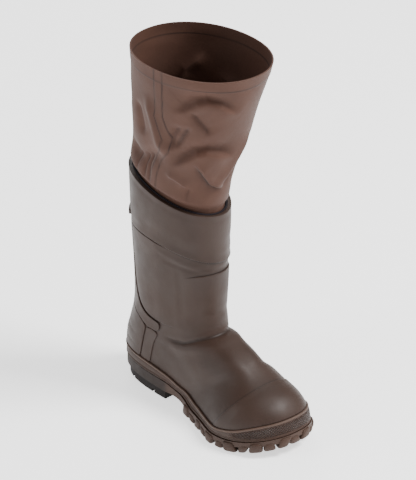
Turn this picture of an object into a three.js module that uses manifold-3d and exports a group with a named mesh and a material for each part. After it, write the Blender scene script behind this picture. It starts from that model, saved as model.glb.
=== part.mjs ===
// Bootfoot wader: a left boot with the lower part of its fabric leg. Units are mm, +Z is up, the toe points
// to -Y and +X is the outer side. The origin is on the ground under the middle of the heel.
// Inside the functions a place is (x, s, z), where s runs forward from the back of the heel.
import * as THREE from 'three';
import { mergeVertices } from 'three/addons/utils/BufferGeometryUtils.js';
import Module from 'manifold-3d';

const wasm = await Module();
wasm.setup();

// Foot of the upper
const LENGTH = 293;
const BALL_WIDTH = 119;
const WAIST_WIDTH = 82;
const HEEL_WIDTH = 74;
const INSTEP_HEIGHT = 118;
const TOE_HEIGHT = 30;
const HEEL_CENTRE = 52;
const RIDGE_SHIFT = 4;
const WALL = 2.6;

// Shaft. The collar's edge lies above its height at the back and below it in front, by its rise and dip.
const COLLAR_HEIGHT = 303;
const COLLAR_RISE = 6;
const COLLAR_DIP = 30;
const COLLAR_DEPTH = 142;
const COLLAR_WIDTH = 98;
const COLLAR_ROLL = 8;
const COLLAR_SHIFT = 2;
const ANKLE_DEPTH = 138;
const ANKLE_WIDTH = 82;
const ANKLE_BACK = 18;

// Sole
const HEEL_SEAT = 28;
const BALL_SEAT = 15;
const HEEL_LIFT = 14;
const HEEL_BREAST = 97;
const HEEL_INSET = 1.5;
const HEEL_GROOVE = 4;
const LUG_DEPTH = 8;
const LUG_RUN = 15;
const LUG_PITCH = 19;
const LUG_NOTCH = 3.2;
const LUG_PROUD = 1.6;
const LUG_BAR = 11;
const LUG_START = 0.47;
const LOBE_DROP = 3;
const BAR_WIDTH = 26;
const HEEL_GROOVE_AT = 22;
const SOLE_LIP = 4;
const BALL_START = 0.56;
const ARCH_RISE = 3;
const ARCH_TOP = 0.4;
const ARCH_END = 0.5;
const TOE_SPRING = 12;
const SPRING_START = 0.76;
const SPRING_POWER = 1.8;
const INSOLE = 4;
const BUMPER_HEIGHT = 21;
const FOXING = 2.2;

// Overlays, collar and leg
const CUFF = 1.6;
const CUFF_ROLL = 0.18;
const PANEL = 1.2;
const BACK_STAY = 1.6;
const SHIN = 1.4;
const COUNTER = 1.4;
const STRIP = 0.8;
const TOE_CAP = 1.2;
const TAB = 2;
const BINDING = 2.4;
const BINDING_DROP = 10;
const BINDING_RISE = 1.8;
const LEG_WALL = 1.2;
const LEG_DROP = 34;
const LEG_TOP = 478;

// Clearances
const GAP = 0.3;
const LINING_GAP = 0.5;

// Room that cutting blocks have past the boot, behind, in front, above and below
const BEHIND = -50;
const AHEAD = LENGTH + 30;
const BELOW = -120;
const ABOVE = 10;

// Fineness of the faceted surfaces
const COLUMNS = 22;
const SHAFT_STEPS = 1;
const FOOT_STEPS = 2;
const TOE_STEPS = 6;
const PROFILE_STEPS = 20;
const LOBE_STEPS = 10;
const EDGE_STEPS = 800;

function table(names, rows) {
  return rows.map((row) => Object.fromEntries(names.map((name, i) => [name, row[i]])));
}

// Plan outline of the foot, heel to ball. at: share of LENGTH. heel, waist, ball: shares of those widths
// that add up to the reach from the middle line.
const OUTLINE_COLUMNS = ['at', 'heel', 'waist', 'ball'];
const MEDIAL_OUTLINE = table(OUTLINE_COLUMNS, [
  [0.00, 0.50, 0.00, 0.00],
  [0.16, 0.50, 0.00, 0.00],
  [0.31, 0.00, 0.46, 0.00],
  [0.44, 0.00, 0.36, 0.06],
  [0.56, 0.00, 0.10, 0.31],
  [0.73, 0.00, 0.00, 0.515],
]);
const LATERAL_OUTLINE = table(OUTLINE_COLUMNS, [
  [0.00, 0.50, 0.00, 0.00],
  [0.16, 0.51, 0.00, 0.00],
  [0.31, 0.00, 0.51, 0.00],
  [0.44, 0.00, 0.26, 0.22],
  [0.54, 0.00, 0.05, 0.44],
  [0.64, 0.00, 0.00, 0.50],
]);
const MEDIAL_TOE_POWER = 2.05;
const LATERAL_TOE_POWER = 2.45;

// Shaft sections, collar to ankle. up: share of the way from instep to collar. wide: share of the way from
// the ankle's width and depth to the collar's. slope: share of the collar's rise, dip and roll.
const SHAFT_SECTIONS = table(['up', 'wide', 'slope', 'power'], [
  [1.00, 1.00, 1.0, 2.10],
  [0.72, 0.82, 0.7, 2.10],
  [0.45, 0.45, 0.4, 2.10],
  [0.22, 0.12, 0.1, 2.15],
  [0.05, 0.00, 0.0, 2.20],
]);

// Foot sections, ankle to toe. Each lies in a plane across the foot, from its low or back end to its top or
// front end. back, front: shares of LENGTH. low, top: shares of INSTEP_HEIGHT. ankle: share of the ankle's
// width in the section's. ridge: share of RIDGE_SHIFT. widest: where the section is widest, as a share of
// the way to its top. The low ends under the foot lie below the ground, where the sole cuts them off.
const FOOT_SECTIONS = table(
  ['back', 'low', 'front', 'top', 'ankle', 'ridge', 'widest', 'lowPower', 'topPower'], [
    [0.052, 0.90, 0.535, 0.975, 1.0, 0.0, 0.50, 2.2, 2.25],
    [0.030, 0.71, 0.550, 0.925, 0.9, 0.2, 0.47, 2.2, 2.2],
    [0.009, 0.525, 0.580, 0.890, 0.7, 0.3, 0.43, 2.3, 2.3],
    [0.000, 0.34, 0.618, 0.868, 0.3, 0.4, 0.40, 2.3, 2.7],
    [0.010, 0.135, 0.657, 0.838, 0.0, 0.5, 0.38, 2.4, 3.0],
    [0.048, -0.07, 0.693, 0.802, 0.0, 0.7, 0.36, 2.5, 3.3],
    [0.144, -0.15, 0.723, 0.763, 0.0, 0.9, 0.345, 2.8, 3.2],
    [0.274, -0.15, 0.745, 0.725, 0.0, 1.0, 0.352, 2.8, 2.85],
    [0.410, -0.15, 0.768, 0.690, 0.0, 1.0, 0.365, 2.8, 2.5],
    [0.540, -0.15, 0.794, 0.655, 0.0, 1.0, 0.38, 2.8, 2.3],
    [0.657, -0.15, 0.824, 0.623, 0.0, 1.0, 0.394, 2.8, 2.2],
    [0.747, -0.15, 0.852, 0.598, 0.0, 1.0, 0.409, 2.8, 2.25],
  ]);
const TOE_POWER = 2.2;
const TOE_TOP_SLOPE = 0.5;
const TOE_SPACING = 1.1;

// Height of the foxing band's top edge above the sole's top, in shares of BUMPER_HEIGHT.
const FOXING_LINE = table(['at', 'height'], [
  [0.00, 0.76],
  [0.20, 0.71],
  [0.38, 0.52],
  [0.55, 0.48],
  [0.68, 0.42],
  [0.82, 0.68],
  [0.92, 0.95],
  [1.00, 1.00],
]);

// Side views of the overlays as closed outlines. along: share of LENGTH from the back of the heel.
// up: share of COLLAR_HEIGHT from the ground.
const VIEW_COLUMNS = ['along', 'up'];
const CUFF_VIEW = table(VIEW_COLUMNS, [
  [-0.17, 0.733],
  [0.20, 0.733],
  [0.38, 0.716],
  [0.51, 0.690],
  [0.65, 0.660],
  [0.65, 1.200],
  [-0.17, 1.200],
]);
const PANEL_VIEW = table(VIEW_COLUMNS, [
  [0.113, 0.800],
  [0.123, 0.627],
  [0.137, 0.525],
  [0.154, 0.449],
  [0.184, 0.406],
  [0.225, 0.381],
  [0.280, 0.371],
  [0.382, 0.366],
  [0.413, 0.376],
  [0.423, 0.429],
  [0.423, 0.800],
]);
const TAB_VIEW = table(VIEW_COLUMNS, [
  [-0.170, 0.759],
  [0.113, 0.759],
  [0.113, 0.815],
  [-0.170, 0.815],
]);
const BACK_STAY_VIEW = table(VIEW_COLUMNS, [
  [-0.170, 0.366],
  [0.102, 0.360],
  [0.171, 0.340],
  [0.239, 0.315],
  [0.312, 0.317],
  [0.317, 0.362],
  [0.278, 0.363],
  [0.222, 0.372],
  [0.176, 0.399],
  [0.145, 0.447],
  [0.128, 0.525],
  [0.114, 0.627],
  [0.104, 0.800],
  [-0.170, 0.800],
]);
const SHIN_VIEW = table(VIEW_COLUMNS, [
  [0.433, 0.327],
  [0.461, 0.333],
  [0.512, 0.350],
  [0.563, 0.363],
  [0.650, 0.372],
  [0.650, 0.637],
  [0.512, 0.637],
  [0.461, 0.620],
  [0.433, 0.607],
]);
const COUNTER_VIEW = table(VIEW_COLUMNS, [
  [-0.170, 0.050],
  [0.160, 0.050],
  [0.164, 0.122],
  [0.220, 0.290],
  [0.222, 0.317],
  [0.171, 0.338],
  [0.102, 0.358],
  [-0.170, 0.364],
]);
const STRIP_VIEW = table(VIEW_COLUMNS, [
  [0.165, 0.050],
  [0.222, 0.050],
  [0.232, 0.122],
  [0.266, 0.244],
  [0.310, 0.312],
  [0.228, 0.312],
  [0.225, 0.290],
  [0.169, 0.122],
]);
const TOE_CAP_VIEW = table(VIEW_COLUMNS, [
  [0.700, 0.050],
  [1.100, 0.050],
  [1.100, 0.400],
  [0.853, 0.400],
  [0.843, 0.257],
  [0.812, 0.208],
  [0.771, 0.155],
  [0.723, 0.083],
]);

// The leg above the collar. up: share of the way from the collar to the leg's top. depth, width: half sizes
// as shares of the collar's. centre: share of LENGTH.
const LEG_SECTIONS = table(['up', 'depth', 'width', 'centre'], [
  [0.08, 0.97, 1.04, 0.300],
  [0.22, 0.99, 1.10, 0.318],
  [0.44, 1.07, 1.23, 0.355],
  [0.66, 1.16, 1.34, 0.390],
  [0.84, 1.25, 1.43, 0.415],
  [1.00, 1.32, 1.50, 0.430],
]);

function mix(a, b, share) {
  return a + (b - a) * share;
}

function ease(from, to, value) {
  const t = Math.min(Math.max((value - from) / (to - from), 0), 1);
  return t * t * (3 - 2 * t);
}

// A smooth curve through the rows of a table, read at one place. Past its ends it stays level.
function through(rows, key, place) {
  const last = rows.length - 1;
  const at = Math.min(Math.max(place, rows[0].at), rows[last].at);
  let i = 0;
  while (i < last - 1 && rows[i + 1].at < at) {
    i += 1;
  }
  const slope = (j) => {
    const a = rows[Math.max(j - 1, 0)];
    const b = rows[Math.min(j + 1, last)];
    return (b[key] - a[key]) / (b.at - a.at);
  };
  const run = rows[i + 1].at - rows[i].at;
  const t = (at - rows[i].at) / run;
  const rise = rows[i + 1][key] - rows[i][key];
  const bend = t * (1 - t) * ((1 - t) * (slope(i) * run - rise) + t * (rise - slope(i + 1) * run));
  return rows[i][key] + rise * t + bend;
}

// Reach of the foot from its middle line, at a share of its length.
function reach(rows, power, share) {
  const width = (key, size) => through(rows, key, share) * size;
  const wide = width('heel', HEEL_WIDTH) + width('waist', WAIST_WIDTH) + width('ball', BALL_WIDTH);
  const ball = rows[rows.length - 1].at;
  const past = Math.min(Math.max((share - ball) / (1 - ball), 0), 1);
  return wide * (1 - past ** power) ** (1 / power);
}

const medialReach = (share) => reach(MEDIAL_OUTLINE, MEDIAL_TOE_POWER, share);
const lateralReach = (share) => reach(LATERAL_OUTLINE, LATERAL_TOE_POWER, share);

function shaftSection(row) {
  const depth = mix(ANKLE_DEPTH, COLLAR_DEPTH, row.wide);
  const half = mix(ANKLE_WIDTH, COLLAR_WIDTH, row.wide) / 2;
  const centre = ANKLE_BACK + ANKLE_DEPTH / 2;
  const z = mix(INSTEP_HEIGHT, COLLAR_HEIGHT, row.up);
  return {
    backS: centre - depth / 2,
    backZ: z + COLLAR_RISE * row.slope,
    frontS: centre + depth / 2,
    frontZ: z - COLLAR_DIP * row.slope,
    lowX: -COLLAR_SHIFT * row.wide,
    topX: -COLLAR_SHIFT * row.wide,
    medial: half,
    lateral: half,
    widest: 0.5,
    lowPower: row.power,
    topPower: row.power,
    roll: COLLAR_ROLL * row.slope / COLLAR_WIDTH,
  };
}

function footSection(row) {
  const widestAt = mix(row.back, row.front, row.widest);
  return {
    backS: row.back * LENGTH,
    backZ: row.low * INSTEP_HEIGHT,
    frontS: row.front * LENGTH,
    frontZ: row.top * INSTEP_HEIGHT,
    lowX: 0,
    topX: -RIDGE_SHIFT * row.ridge,
    medial: mix(medialReach(widestAt), ANKLE_WIDTH / 2, row.ankle),
    lateral: mix(lateralReach(widestAt), ANKLE_WIDTH / 2, row.ankle),
    widest: row.widest,
    lowPower: row.lowPower,
    topPower: row.topPower,
    roll: 0,
  };
}

// The sections past the last row close over the toes towards one point at the tip.
function toeSection(last, slope, forward) {
  const close = (1 - forward ** TOE_POWER) ** (1 / TOE_POWER);
  const widest = mix(last.backS, last.frontS, last.widest);
  const share = mix(widest, LENGTH, forward) / LENGTH;
  const top = last.frontZ + slope * (LENGTH - last.frontS) * forward * TOE_TOP_SLOPE;
  return {
    ...last,
    backS: mix(last.backS, LENGTH, forward),
    backZ: mix(TOE_HEIGHT, last.backZ, close),
    frontS: mix(last.frontS, LENGTH, forward),
    frontZ: mix(TOE_HEIGHT, top, close),
    topX: mix(last.topX, 0, forward),
    medial: medialReach(share),
    lateral: lateralReach(share),
  };
}

// All sections from collar to toe, with in-between ones on a smooth curve through the tables' rows.
function allSections() {
  const rows = [...SHAFT_SECTIONS.map(shaftSection), ...FOOT_SECTIONS.map(footSection)];
  const keys = Object.keys(rows[0]);
  const sections = [];
  for (let i = 0; i < rows.length - 1; i += 1) {
    const near = (j) => rows[Math.min(Math.max(j, 0), rows.length - 1)];
    const [p0, p1, p2, p3] = [near(i - 1), near(i), near(i + 1), near(i + 2)];
    const steps = i < SHAFT_SECTIONS.length - 1 ? SHAFT_STEPS : FOOT_STEPS;
    for (let k = 0; k < steps; k += 1) {
      const t = k / steps;
      const blend = (key) => 0.5 * (2 * p1[key] + (p2[key] - p0[key]) * t
        + (2 * p0[key] - 5 * p1[key] + 4 * p2[key] - p3[key]) * t ** 2
        + (3 * p1[key] - p0[key] - 3 * p2[key] + p3[key]) * t ** 3);
      sections.push(Object.fromEntries(keys.map((key) => [key, blend(key)])));
    }
  }
  const last = rows[rows.length - 1];
  const before = rows[rows.length - 2];
  const slope = (last.frontZ - before.frontZ) / (last.frontS - before.frontS);
  sections.push(last);
  for (let k = 1; k < TOE_STEPS; k += 1) {
    const forward = Math.sin((Math.PI / 2) * (k / TOE_STEPS)) ** TOE_SPACING;
    sections.push(toeSection(last, slope, forward));
  }
  return sections;
}

function sectionPoint(row, angle) {
  const c = Math.cos(angle);
  const d = Math.sin(angle);
  const power = c >= 0 ? row.lowPower : row.topPower;
  const radius = (Math.abs(c) ** power + Math.abs(d) ** power) ** (-1 / power);
  const part = c >= 0 ? row.widest : 1 - row.widest;
  const way = row.widest - part * radius * c;
  const side = (d >= 0 ? row.lateral : row.medial) * radius * d;
  const x = mix(row.lowX, row.topX, way) + side;
  const z = mix(row.backZ, row.frontZ, way) - row.roll * side;
  return new THREE.Vector3(x, mix(row.backS, row.frontS, way), z);
}

const SECTIONS = allSections();
const RINGS = SECTIONS.map((row) => {
  return Array.from({ length: COLUMNS }, (_, j) => sectionPoint(row, (2 * Math.PI * j) / COLUMNS));
});
const TIP = new THREE.Vector3(0, LENGTH, TOE_HEIGHT);

// Outward directions of the upper's surface at each point of the rings.
const NORMALS = RINGS.map((ring, i) => ring.map((point, j) => {
  const around = new THREE.Vector3().subVectors(ring[(j + 1) % COLUMNS], ring[(j + COLUMNS - 1) % COLUMNS]);
  const next = i + 1 < RINGS.length ? RINGS[i + 1][j] : TIP;
  const along = new THREE.Vector3().subVectors(next, RINGS[Math.max(i - 1, 0)][j]);
  return new THREE.Vector3().crossVectors(along, around).normalize();
}));

function solidFrom(positions, triangles) {
  const mesh = new wasm.Mesh({
    numProp: 3,
    vertProperties: new Float32Array(positions),
    triVerts: new Uint32Array(triangles),
  });
  return new wasm.Manifold(mesh);
}

// A closed solid through rings of equal length, each with its own end cap point.
function skin(rings, start, end) {
  const count = rings[0].length;
  const positions = rings.flat().flatMap((p) => [p.x, HEEL_CENTRE - p.y, p.z]);
  const triangles = [];
  const id = (i, j) => i * count + (j % count);
  const first = rings.length * count;
  positions.push(start.x, HEEL_CENTRE - start.y, start.z, end.x, HEEL_CENTRE - end.y, end.z);
  for (let j = 0; j < count; j += 1) {
    triangles.push(first, id(0, j + 1), id(0, j));
    triangles.push(first + 1, id(rings.length - 1, j), id(rings.length - 1, j + 1));
    for (let i = 0; i < rings.length - 1; i += 1) {
      triangles.push(id(i, j), id(i + 1, j + 1), id(i + 1, j));
      triangles.push(id(i, j), id(i, j + 1), id(i + 1, j + 1));
    }
  }
  return solidFrom(positions, triangles);
}

function centreOf(ring) {
  const sum = ring.reduce((total, p) => total.add(p), new THREE.Vector3());
  return sum.divideScalar(ring.length);
}

function offsetRings(offset) {
  return RINGS.map((ring, i) => ring.map((p, j) => p.clone().addScaledVector(NORMALS[i][j], offset)));
}

// The upper's own form, grown or shrunk by an offset. extra lifts its top above the collar.
function form(offset, extra = 0) {
  const rings = offsetRings(offset);
  if (extra > 0) {
    rings.unshift(rings[0].map((p) => new THREE.Vector3(p.x, p.y, p.z + extra)));
  }
  const tip = new THREE.Vector3(TIP.x, TIP.y + offset, TIP.z);
  return skin(rings, centreOf(rings[0]), tip);
}

// The same form in half as many faces, for edges that no other piece follows.
function coarseForm(offset) {
  const even = (_, i) => i % 2 === 0;
  const fewer = offsetRings(offset).filter(even).map((ring) => ring.filter(even));
  return skin(fewer, centreOf(fewer[0]), new THREE.Vector3(TIP.x, TIP.y + offset, TIP.z));
}

function solidOf(geometry) {
  const bare = geometry.clone();
  bare.deleteAttribute('normal');
  bare.deleteAttribute('uv');
  const merged = mergeVertices(bare);
  const triangles = merged.index.array;
  return solidFrom(merged.attributes.position.array, triangles);
}

// A block across the whole boot whose side view is the polygon of (s, z) points. roll slopes it sideways.
function across(points, fromX = -LENGTH, toX = LENGTH, roll = 0) {
  const shape = new THREE.Shape(points.map(([s, z]) => new THREE.Vector2(s, z)));
  const geometry = new THREE.ExtrudeGeometry(shape, { depth: toX - fromX, bevelEnabled: false });
  geometry.applyMatrix4(new THREE.Matrix4().set(
    0, 0, -1, toX,
    -1, 0, 0, HEEL_CENTRE,
    0, 1, roll, -roll * toX,
    0, 0, 0, 1,
  ));
  return solidOf(geometry);
}

// Heights along the foot, as functions of s
const toTip = (s) => Math.max((s / LENGTH - SPRING_START) / (1 - SPRING_START), 0);
const spring = (s) => TOE_SPRING * toTip(s) ** SPRING_POWER;
const toBall = (s) => ease(HEEL_BREAST, BALL_START * LENGTH, s);
const toArch = (s) => ease(HEEL_BREAST, ARCH_TOP * LENGTH, s);
const pastArch = (s) => ease(ARCH_TOP * LENGTH, ARCH_END * LENGTH, s);
const archRise = (s) => ARCH_RISE * toArch(s) * (1 - pastArch(s));
const soleTop = (s) => mix(HEEL_SEAT, BALL_SEAT, toBall(s)) + spring(s);
const slabBottom = (s) => mix(HEEL_LIFT + GAP, LUG_DEPTH, toBall(s)) + archRise(s) + spring(s);
const foxingTop = (s) => soleTop(s) + BUMPER_HEIGHT * through(FOXING_LINE, 'height', s / LENGTH);
const raised = (line, lift) => (s) => line(s) + lift;

// The block between two of those heights, from one s to another.
function between(low, high, from = BEHIND, to = AHEAD, steps = PROFILE_STEPS) {
  const places = Array.from({ length: steps + 1 }, (_, i) => mix(from, to, i / steps));
  const lowEdge = places.map((s) => [s, low(s)]);
  const highEdge = places.reverse().map((s) => [s, high(s)]);
  return across([...lowEdge, ...highEdge]);
}

const deep = () => BELOW;

function upper() {
  const shell = form(0).subtract(form(-WALL, ABOVE));
  return shell.subtract(between(deep, raised(soleTop, GAP)));
}

function insole() {
  const bed = form(-WALL - LINING_GAP);
  return bed.intersect(between(raised(soleTop, GAP), raised(soleTop, GAP + INSOLE)));
}

// Places along the edge of the sole from the medial waist round the toe to the lateral waist, a pitch apart.
function edgePlaces(from, pitch) {
  const points = [];
  for (let i = 0; i <= EDGE_STEPS; i += 1) {
    const turn = i / EDGE_STEPS;
    const medial = turn <= 0.5;
    const share = mix(from, 1, Math.sin(turn * Math.PI));
    points.push(new THREE.Vector2(medial ? -medialReach(share) : lateralReach(share), share * LENGTH));
  }
  const places = [];
  let walked = 0;
  for (let i = 1; i < points.length - 1; i += 1) {
    walked += points[i].distanceTo(points[i - 1]);
    if (walked >= pitch) {
      walked -= pitch;
      const along = points[i + 1].clone().sub(points[i - 1]);
      places.push({ x: points[i].x, s: points[i].y, turn: Math.atan2(along.y, along.x) });
    }
  }
  return places;
}

function box(x, s, z, width, length, height, turn = 0) {
  const geometry = new THREE.BoxGeometry(width, length, height);
  geometry.applyMatrix4(new THREE.Matrix4().makeRotationZ(-turn));
  geometry.translate(x, HEEL_CENTRE - s, z);
  return solidOf(geometry);
}

function rimLugs() {
  const ring = form(SOLE_LIP + LUG_PROUD).subtract(coarseForm(SOLE_LIP - LUG_RUN));
  const lobes = between(spring, raised(soleTop, -LOBE_DROP), LUG_START * LENGTH, AHEAD, LOBE_STEPS);
  let lugs = ring.intersect(lobes);
  for (const place of edgePlaces(LUG_START, LUG_PITCH)) {
    const notch = box(place.x, place.s, 0, LUG_NOTCH, 3 * LUG_RUN, -BELOW, place.turn);
    lugs = lugs.subtract(notch);
  }
  return lugs;
}

// Broken bars across the forefoot, inside the rim's lugs
const BAR_ROWS = table(['at', 'turn'], [
  [0.50, 0.16],
  [0.57, -0.12],
  [0.64, 0.14],
  [0.71, -0.12],
  [0.78, 0.14],
  [0.85, -0.10],
]);

function innerLugs() {
  const inside = coarseForm(SOLE_LIP - LUG_RUN - LUG_NOTCH);
  const field = inside.intersect(between(spring, raised(slabBottom, LUG_PROUD)));
  const bars = BAR_ROWS.flatMap((row) => [-1, 0, 1].map((side) => {
    const x = side * (BAR_WIDTH + LUG_NOTCH);
    return box(x, row.at * LENGTH, 0, BAR_WIDTH, LUG_BAR, -BELOW, row.turn * side);
  }));
  return field.intersect(wasm.Manifold.union(bars));
}

function outsole() {
  const slab = form(SOLE_LIP).intersect(between(slabBottom, soleTop));
  return slab.add(rimLugs()).add(innerLugs());
}

function heelLift() {
  const block = form(-HEEL_INSET).intersect(across([
    [BEHIND, 0],
    [HEEL_BREAST, 0],
    [HEEL_BREAST, HEEL_LIFT],
    [BEHIND, HEEL_LIFT],
  ]));
  const grooves = [-HEEL_GROOVE_AT, HEEL_GROOVE_AT].map((place) => {
    return box(0, HEEL_CENTRE + place, 0, 2 * HEEL_WIDTH, HEEL_GROOVE, 2 * HEEL_GROOVE);
  });
  return block.subtract(wasm.Manifold.union(grooves));
}

function foxingBand() {
  const band = form(GAP + FOXING).subtract(form(GAP));
  return band.intersect(between(raised(soleTop, GAP), foxingTop));
}

// A raised layer on the upper between two heights above its surface
function layer(low, thickness) {
  return form(low + thickness).subtract(form(low, ABOVE));
}

// The block across the boot, or across one side of it, that a side view outlines
function block(view, side = 0, roll = 0) {
  const points = view.map((row) => [row.along * LENGTH, row.up * COLLAR_HEIGHT]);
  const fromX = side > 0 ? 1 : -LENGTH;
  const toX = side < 0 ? -1 : LENGTH;
  return across(points, fromX, toX, roll);
}

const cuffBlock = (lower) => block(CUFF_VIEW, 0, CUFF_ROLL).translate(0, 0, -lower);
const aboveFoxing = (piece) => piece.subtract(between(deep, raised(foxingTop, GAP)));

function cuffBand() {
  return layer(GAP, CUFF).intersect(cuffBlock(0));
}

function backTab() {
  return layer(2 * GAP + CUFF, TAB).intersect(block(TAB_VIEW));
}

function sidePanel(side) {
  return layer(GAP, PANEL).intersect(block(PANEL_VIEW, side)).subtract(cuffBlock(GAP));
}

function backStay() {
  return layer(GAP, BACK_STAY).intersect(block(BACK_STAY_VIEW)).subtract(cuffBlock(GAP));
}

function shinOverlay() {
  return layer(GAP, SHIN).intersect(block(SHIN_VIEW));
}

function heelCounter() {
  return aboveFoxing(layer(GAP, COUNTER).intersect(block(COUNTER_VIEW)));
}

function counterStrip(side) {
  return aboveFoxing(layer(GAP, STRIP).intersect(block(STRIP_VIEW, side)));
}

function toeCap() {
  return aboveFoxing(layer(GAP, TOE_CAP).intersect(block(TOE_CAP_VIEW)));
}

// The block above a plane that lies below the collar's edge and slopes as it does
function aboveCollar(drop) {
  const back = ANKLE_BACK + (ANKLE_DEPTH - COLLAR_DEPTH) / 2;
  const slope = (COLLAR_RISE + COLLAR_DIP) / COLLAR_DEPTH;
  const roll = COLLAR_ROLL / COLLAR_WIDTH;
  const highest = COLLAR_HEIGHT + COLLAR_RISE - drop - roll * COLLAR_SHIFT;
  const edge = (s) => highest - slope * (s - back);
  return across([
    [BEHIND, edge(BEHIND)],
    [AHEAD, edge(AHEAD)],
    [AHEAD, 2 * COLLAR_HEIGHT],
    [BEHIND, 2 * COLLAR_HEIGHT],
  ], -LENGTH, LENGTH, roll);
}

function collarBinding() {
  const outer = form(-WALL - GAP, BINDING_RISE);
  const inner = form(-WALL - GAP - BINDING, ABOVE);
  return outer.subtract(inner).intersect(aboveCollar(BINDING_DROP));
}

// The leg's own form, bonded inside the collar. extra runs it out past both of its ends.
function legForm(offset, extra) {
  const inside = offset - WALL - BINDING - 2 * GAP - LINING_GAP;
  const edge = offsetRings(inside)[0];
  const middle = centreOf(edge);
  const above = LEG_SECTIONS.map((row) => edge.map((p) => {
    const wider = (COLLAR_WIDTH * row.width / 2 + offset) / (COLLAR_WIDTH / 2 + inside);
    const deeper = (COLLAR_DEPTH * row.depth / 2 + offset) / (COLLAR_DEPTH / 2 + inside);
    const x = middle.x + (p.x - middle.x) * wider;
    const s = row.centre * LENGTH + (p.y - middle.y) * deeper;
    return new THREE.Vector3(x, s, mix(p.z, LEG_TOP, row.up));
  }));
  const shifted = (ring, up) => ring.map((p) => new THREE.Vector3(p.x, p.y, p.z + up));
  const rings = [...above.reverse(), shifted(edge, 2 * BINDING_RISE), shifted(edge, -LEG_DROP - extra)];
  if (extra > 0) {
    rings.unshift(shifted(rings[0], extra));
  }
  return skin(rings, centreOf(rings[0]), centreOf(rings[rings.length - 1]));
}

function waderLeg() {
  return legForm(0, 0).subtract(legForm(-LEG_WALL, ABOVE));
}

const RUBBER = { color: 0x5c4e48, roughness: 0.62, metalness: 0 };
const SOLE_RUBBER = { color: 0x5f5049, roughness: 0.7, metalness: 0 };
const HEEL_RUBBER = { color: 0x3a302d, roughness: 0.75, metalness: 0 };
const FOXING_RUBBER = { color: 0x66574f, roughness: 0.66, metalness: 0 };
const FELT = { color: 0x2b2724, roughness: 0.95, metalness: 0 };
const BINDING_CLOTH = { color: 0x2a2329, roughness: 0.85, metalness: 0 };
const LEG_CLOTH = { color: 0x664f47, roughness: 0.8, metalness: 0 };

const boot = new THREE.Group();

function addPiece(name, solid, finish) {
  const mesh = solid.getMesh();
  const geometry = new THREE.BufferGeometry();
  geometry.setAttribute('position', new THREE.BufferAttribute(new Float32Array(mesh.vertProperties), 3));
  geometry.setIndex(new THREE.BufferAttribute(new Uint32Array(mesh.triVerts), 1));
  geometry.computeVertexNormals();
  const piece = new THREE.Mesh(geometry, new THREE.MeshStandardMaterial(finish));
  piece.name = name;
  boot.add(piece);
}

addPiece('upper', upper(), RUBBER);
addPiece('insole', insole(), FELT);
addPiece('outsole', outsole(), SOLE_RUBBER);
addPiece('heel_lift', heelLift(), HEEL_RUBBER);
addPiece('foxing_band', foxingBand(), FOXING_RUBBER);
addPiece('toe_cap', toeCap(), RUBBER);
addPiece('heel_counter', heelCounter(), RUBBER);
addPiece('counter_strip_medial', counterStrip(-1), RUBBER);
addPiece('counter_strip_lateral', counterStrip(1), RUBBER);
addPiece('cuff_band', cuffBand(), RUBBER);
addPiece('shin_overlay', shinOverlay(), RUBBER);
addPiece('side_panel_medial', sidePanel(-1), RUBBER);
addPiece('side_panel_lateral', sidePanel(1), RUBBER);
addPiece('back_stay', backStay(), RUBBER);
addPiece('back_tab', backTab(), RUBBER);
addPiece('collar_binding', collarBinding(), BINDING_CLOTH);
addPiece('wader_leg', waderLeg(), LEG_CLOTH);

export default boot;
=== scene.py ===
# The looks of a left bootfoot wader: moulded rubber boot, raised overlays, lugged sole and fabric leg.
# Places are in mm as (x, s, z): x to the outer side, s forward from the back of the heel, z up. Meshes are
# made in metres with the toe towards -Y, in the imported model's frame.
import math

import bpy
import numpy as np
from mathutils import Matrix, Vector


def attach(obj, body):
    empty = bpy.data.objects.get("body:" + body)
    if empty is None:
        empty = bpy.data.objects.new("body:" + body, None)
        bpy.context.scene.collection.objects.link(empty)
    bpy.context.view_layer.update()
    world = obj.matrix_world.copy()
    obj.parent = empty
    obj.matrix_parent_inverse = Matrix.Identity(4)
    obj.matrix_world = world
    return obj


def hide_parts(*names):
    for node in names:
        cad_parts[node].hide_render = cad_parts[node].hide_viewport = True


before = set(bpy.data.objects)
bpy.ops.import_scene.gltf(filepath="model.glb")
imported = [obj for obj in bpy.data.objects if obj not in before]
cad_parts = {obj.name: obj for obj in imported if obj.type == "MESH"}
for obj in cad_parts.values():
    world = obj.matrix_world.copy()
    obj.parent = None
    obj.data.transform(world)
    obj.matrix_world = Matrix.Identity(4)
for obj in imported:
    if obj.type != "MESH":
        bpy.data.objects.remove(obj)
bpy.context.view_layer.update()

MM = 0.001
HEEL_CENTRE = 52

# Foot and shaft of the upper
LENGTH = 293
BALL_WIDTH = 119
WAIST_WIDTH = 82
HEEL_WIDTH = 74
INSTEP_HEIGHT = 118
TOE_HEIGHT = 30
RIDGE_SHIFT = 4
WALL = 2.6
COLLAR_HEIGHT = 303
COLLAR_RISE = 6
COLLAR_DIP = 30
COLLAR_DEPTH = 142
COLLAR_WIDTH = 98
COLLAR_ROLL = 8
COLLAR_SHIFT = 2
ANKLE_DEPTH = 138
ANKLE_WIDTH = 82
ANKLE_BACK = 18

# Sole
HEEL_SEAT = 28
BALL_SEAT = 15
HEEL_LIFT = 14
HEEL_BREAST = 97
HEEL_INSET = 1.5
HEEL_GROOVE = 4
HEEL_GROOVE_AT = 22
LUG_DEPTH = 8
LUG_RUN = 15
LUG_PITCH = 16.5
LUG_NOTCH = 2.4
LUG_ROUND = 3.8
LUG_PROUD = 1.4
LUG_BAR = 11
LUG_START = 0.47
BAR_WIDTH = 26
SOLE_LIP = 4
HEEL_LIP = 2
BALL_START = 0.56
ARCH_RISE = 3
ARCH_TOP = 0.4
ARCH_END = 0.5
TOE_SPRING = 12
SPRING_START = 0.76
SPRING_POWER = 1.8
INSOLE = 4
BUMPER_HEIGHT = 21
FOXING = 2.2

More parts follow.
